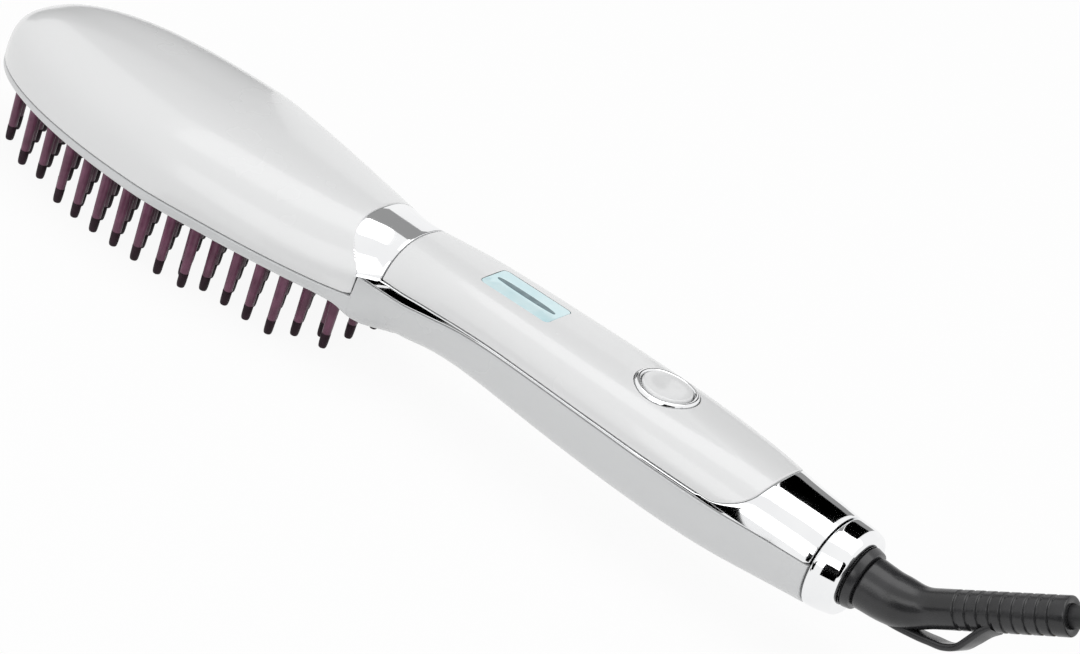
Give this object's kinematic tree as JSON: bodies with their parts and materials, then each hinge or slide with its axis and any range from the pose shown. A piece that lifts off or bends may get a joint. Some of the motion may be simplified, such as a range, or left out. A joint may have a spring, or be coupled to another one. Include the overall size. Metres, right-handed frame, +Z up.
{
  "type": "hair straightening brush",
  "caption": "heated paddle brush that straightens hair, with lines of pins under a domed head, a slim handle with display and power button, chrome trim and a swivelling mains cord",
  "frame": {"origin": "under the middle of brush and strain relief, on the surface that the pin tips stand on", "axes": "+X from the head to the handle's tail, +Y to the left side when looking along +X, +Z up from the pin tips to the back"},
  "size_m": [0.4885, 0.0963, 0.0603],
  "materials": {
    "white_plastic": "smooth, glossy",
    "pale_plastic": "smooth, satin",
    "chrome_trim": "mirror bright",
    "pin_coating": "plum coating, satin, with black tips",
    "plate_metal": "milled",
    "steel": "plain",
    "ceramic": "matt",
    "lens": "clear, pale blue",
    "screen_glass": "pale blue",
    "black_plastic": "matt",
    "board_laminate": "lacquered",
    "wire_sleeve": "smooth",
    "contact_brass": "bright",
    "black_rubber": "satin"
  },
  "bodies": {
    "root": {"head_back_cover": "white_plastic", "handle_top_panel": "white_plastic", "base_shell": "pale_plastic", "chrome_bezel": "chrome_trim", "chrome_end_ring": "chrome_trim", "button_ring": "chrome_trim", "heated_pin_bed": "pin_coating", "heating_plate": "plate_metal", "heater_clamp": "steel", "clamp_screw_1": "steel", "clamp_screw_2": "steel", "head_screw_1": "steel", "head_screw_2": "steel", "head_screw_3": "steel", "head_screw_4": "steel", "board_screw_1": "steel", "board_screw_2": "steel", "board_screw_3": "steel", "handle_screw_1": "steel", "handle_screw_2": "steel", "tact_switch": "steel", "heating_element_1": "ceramic", "heating_element_2": "ceramic", "insulation_sheet": "ceramic", "temperature_sensor": "ceramic", "backlight_panel": "ceramic", "display_window": "lens", "lcd_glass": "screen_glass", "lcd_frame": "black_plastic", "thermal_cutout": "black_plastic", "smoothing_capacitor": "black_plastic", "triac": "black_plastic", "control_chip": "black_plastic", "buzzer": "black_plastic", "swivel_bearing": "black_plastic", "contact_carrier": "black_plastic", "filter_capacitor": "black_plastic", "main_board": "board_laminate", "heater_wire_1": "wire_sleeve", "heater_wire_2": "wire_sleeve", "mains_wire_1": "wire_sleeve", "mains_wire_2": "wire_sleeve", "contact_brush_1": "contact_brass", "contact_brush_2": "contact_brass", "plug_blade_1": "contact_brass", "plug_blade_2": "contact_brass", "cord_lead": "black_rubber", "cord_coil": "black_rubber", "cord_end": "black_rubber", "plug_body": "black_rubber", "cord_tie": "black_rubber"},
    "button": {"power_button": "white_plastic", "switch_plunger": "black_plastic"},
    "swivel": {"swivel_barrel": "black_plastic", "slip_ring_1": "contact_brass", "slip_ring_2": "contact_brass", "strain_relief": "black_rubber"}
  },
  "joints": [
    {"name": "power_button_press", "type": "slide", "parent": "root", "child": "button", "axis": [0, 0, -1], "range_m": [0, 0.0008], "stiffness_N_per_m": 300},
    {"name": "cord_swivel", "type": "hinge", "parent": "root", "child": "swivel", "pos_m": [0.12, 0, 0.0264], "axis": [1, 0, 0], "continuous": true, "deforming": ["cord_lead"]}
  ]
}
